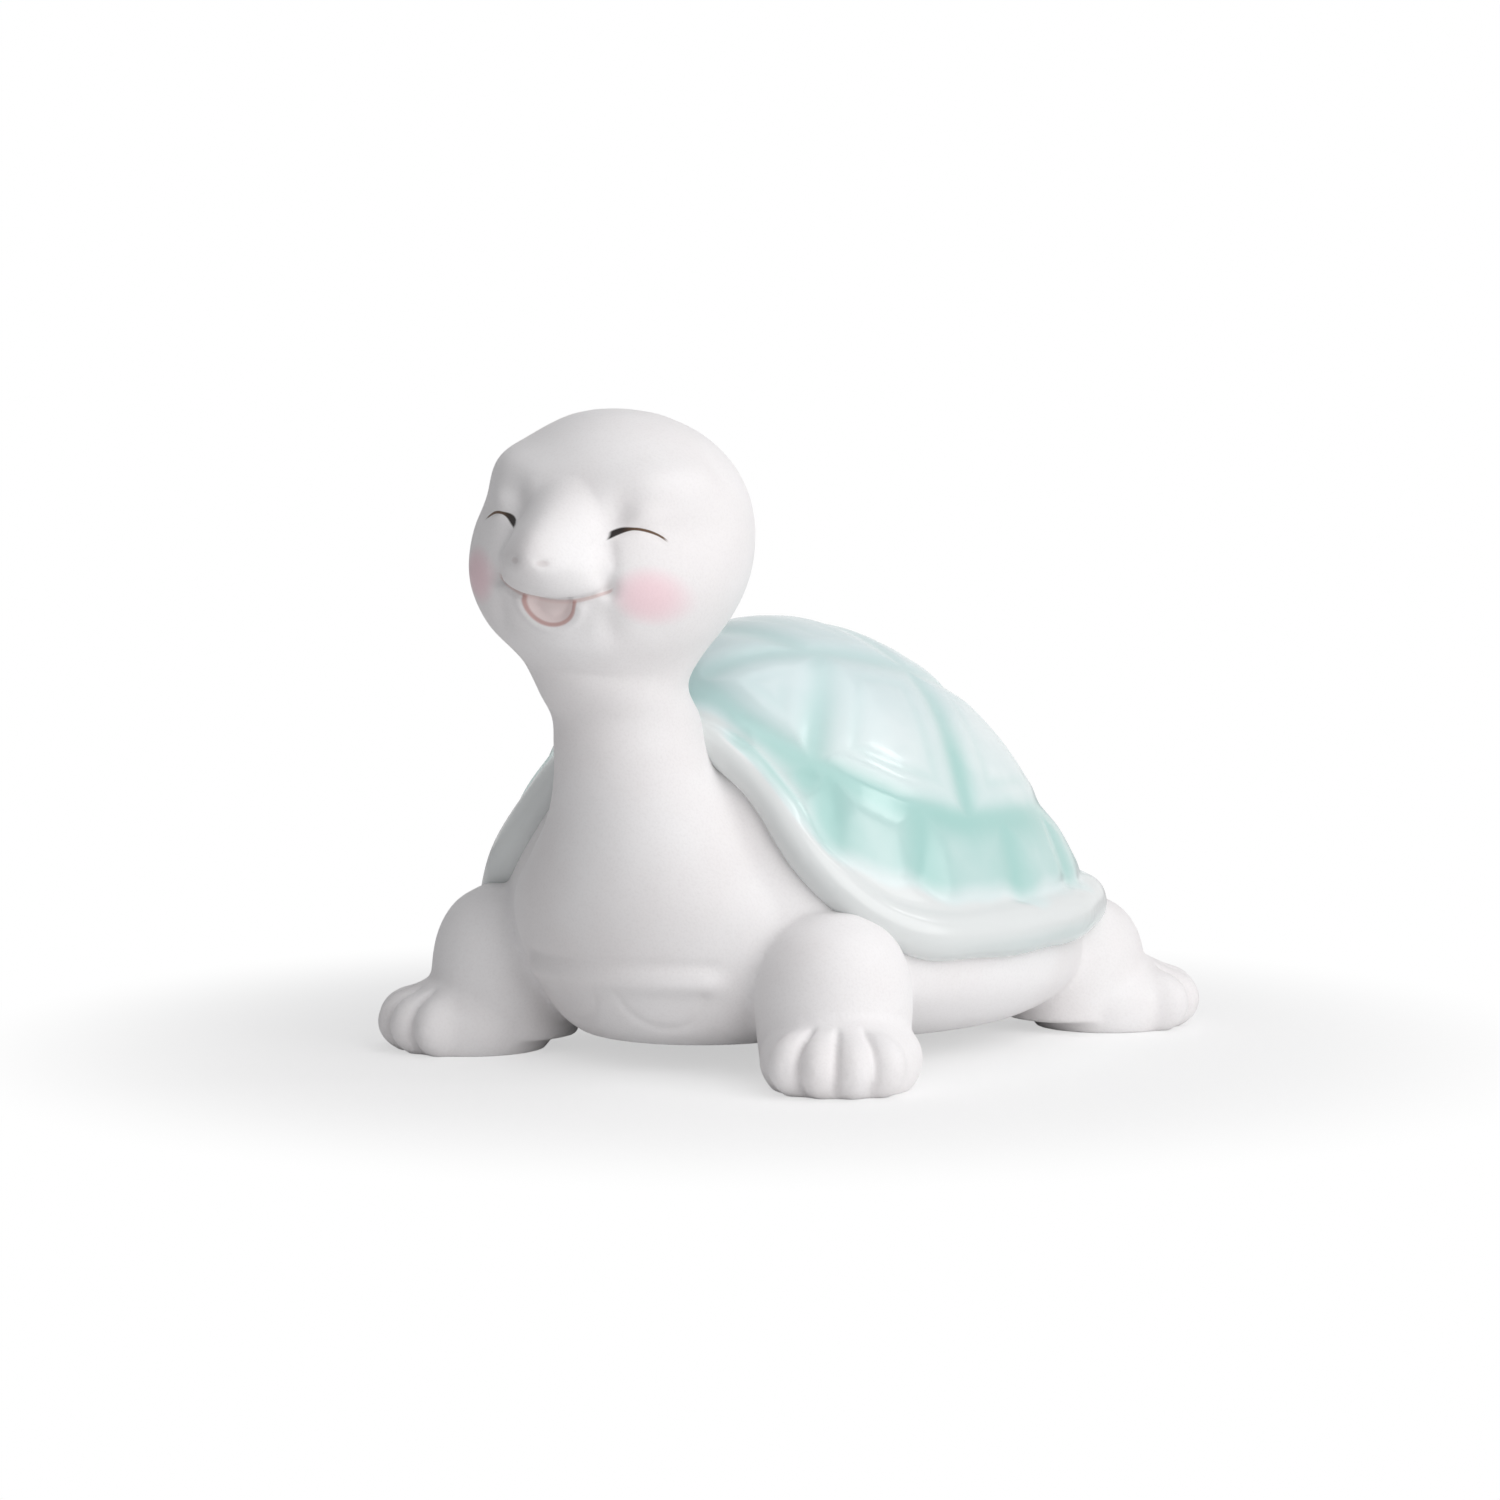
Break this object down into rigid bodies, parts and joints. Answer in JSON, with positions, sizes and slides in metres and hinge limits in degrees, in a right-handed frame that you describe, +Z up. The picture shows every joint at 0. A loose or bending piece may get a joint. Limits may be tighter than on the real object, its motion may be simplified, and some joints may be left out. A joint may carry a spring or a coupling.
{
  "type": "turtle figurine",
  "caption": "Free-standing hollow porcelain turtle ornament: bare white bisque head, body and legs under a domed, glazed pale green carapace with a rolled rim.",
  "frame": {"origin": "on the table, under the middle of the overall box", "axes": "+Z up, -Y the way the turtle faces, +X towards its left side"},
  "size_m": [0.0948, 0.1298, 0.0962],
  "materials": {
    "bisque": "matte",
    "celadon_glaze": "gloss"
  },
  "bodies": {
    "root": {"body_casting": "bisque", "head_casting": "bisque", "front_left_leg": "bisque", "front_right_leg": "bisque", "rear_left_leg": "bisque", "rear_right_leg": "bisque", "tail": "bisque", "carapace": "celadon_glaze"}
  },
  "joints": []
}
